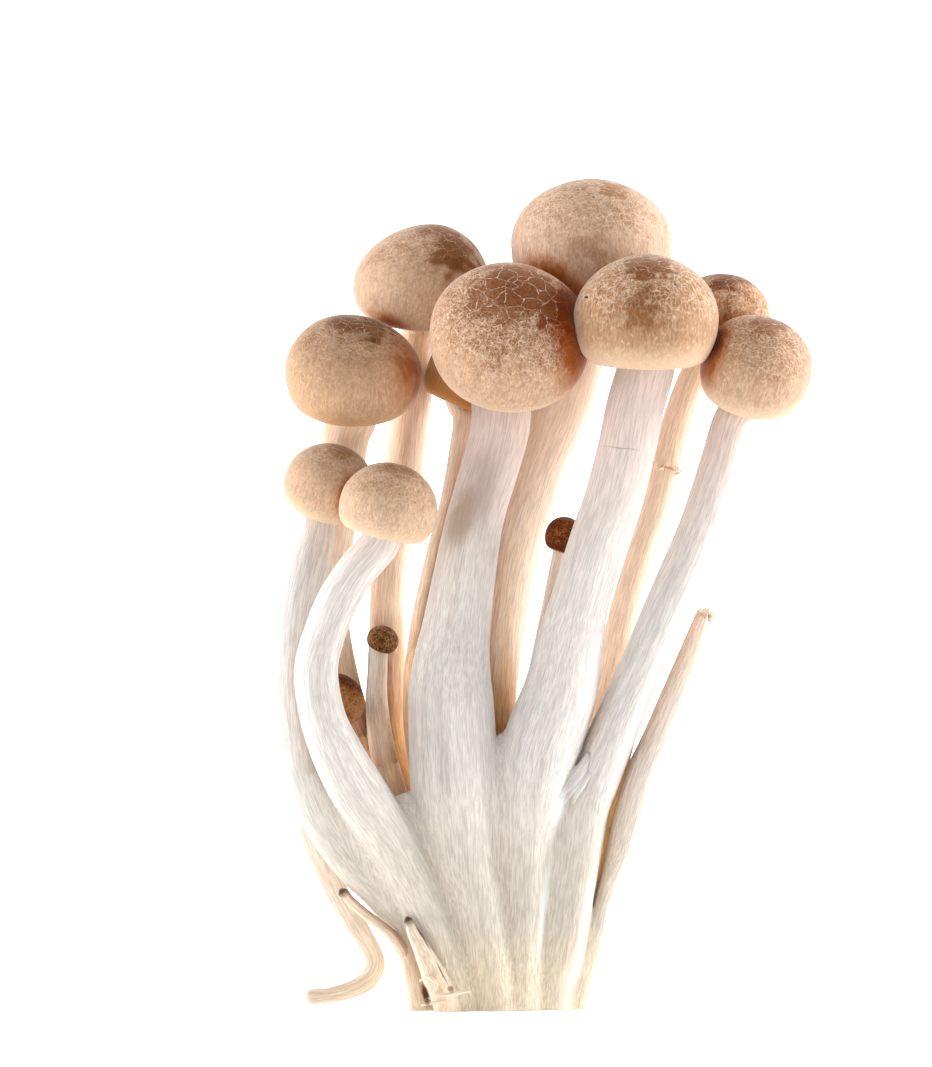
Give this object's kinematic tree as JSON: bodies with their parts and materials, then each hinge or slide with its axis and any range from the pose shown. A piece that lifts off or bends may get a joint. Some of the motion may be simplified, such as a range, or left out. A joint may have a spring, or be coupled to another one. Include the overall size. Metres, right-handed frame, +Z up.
{
  "type": "branched mushroom cluster",
  "caption": "Cluster of small round-capped brown mushrooms on long pale stems, fused at the foot, cut off flat and standing on the cut.",
  "frame": {"origin": "middle of the flat cut at the foot", "axes": "+Z up along the stems, -Y towards the viewer of the front, +X to the viewer's right"},
  "size_m": [0.0749, 0.0429, 0.1164],
  "materials": {
    "cap": "smooth matte cap skin with a net of pale lines round darker patches",
    "dark_cap": "matte dark speckled skin of the young caps",
    "stem": "fibrous white to cream stem, fine lengthwise fibres",
    "foot": "fused fibrous foot, cream, amber in the deep gaps"
  },
  "bodies": {
    "root": {"foot": "foot", "stem_centre": "stem", "stem_right_centre": "stem", "stem_top": "stem", "stem_left": "stem", "stem_back_left": "stem", "stem_back_right": "stem", "stem_right": "stem", "stem_small_back": "stem", "stem_small_front": "stem", "stem_hidden": "stem", "stem_dark_right": "stem", "stem_dark_left": "stem", "stem_low_brown": "stem", "cap_centre": "cap", "cap_right_centre": "cap", "cap_top": "cap", "cap_left": "cap", "cap_back_left": "cap", "cap_back_right": "cap", "cap_right": "cap", "cap_small_back": "cap", "cap_small_front": "cap", "cap_hidden": "cap", "cap_dark_right": "dark_cap", "cap_dark_left": "dark_cap", "cap_low_brown": "dark_cap", "broken_stem": "stem", "pin_left": "stem", "pin_front": "stem", "curled_stem": "stem"}
  },
  "joints": []
}
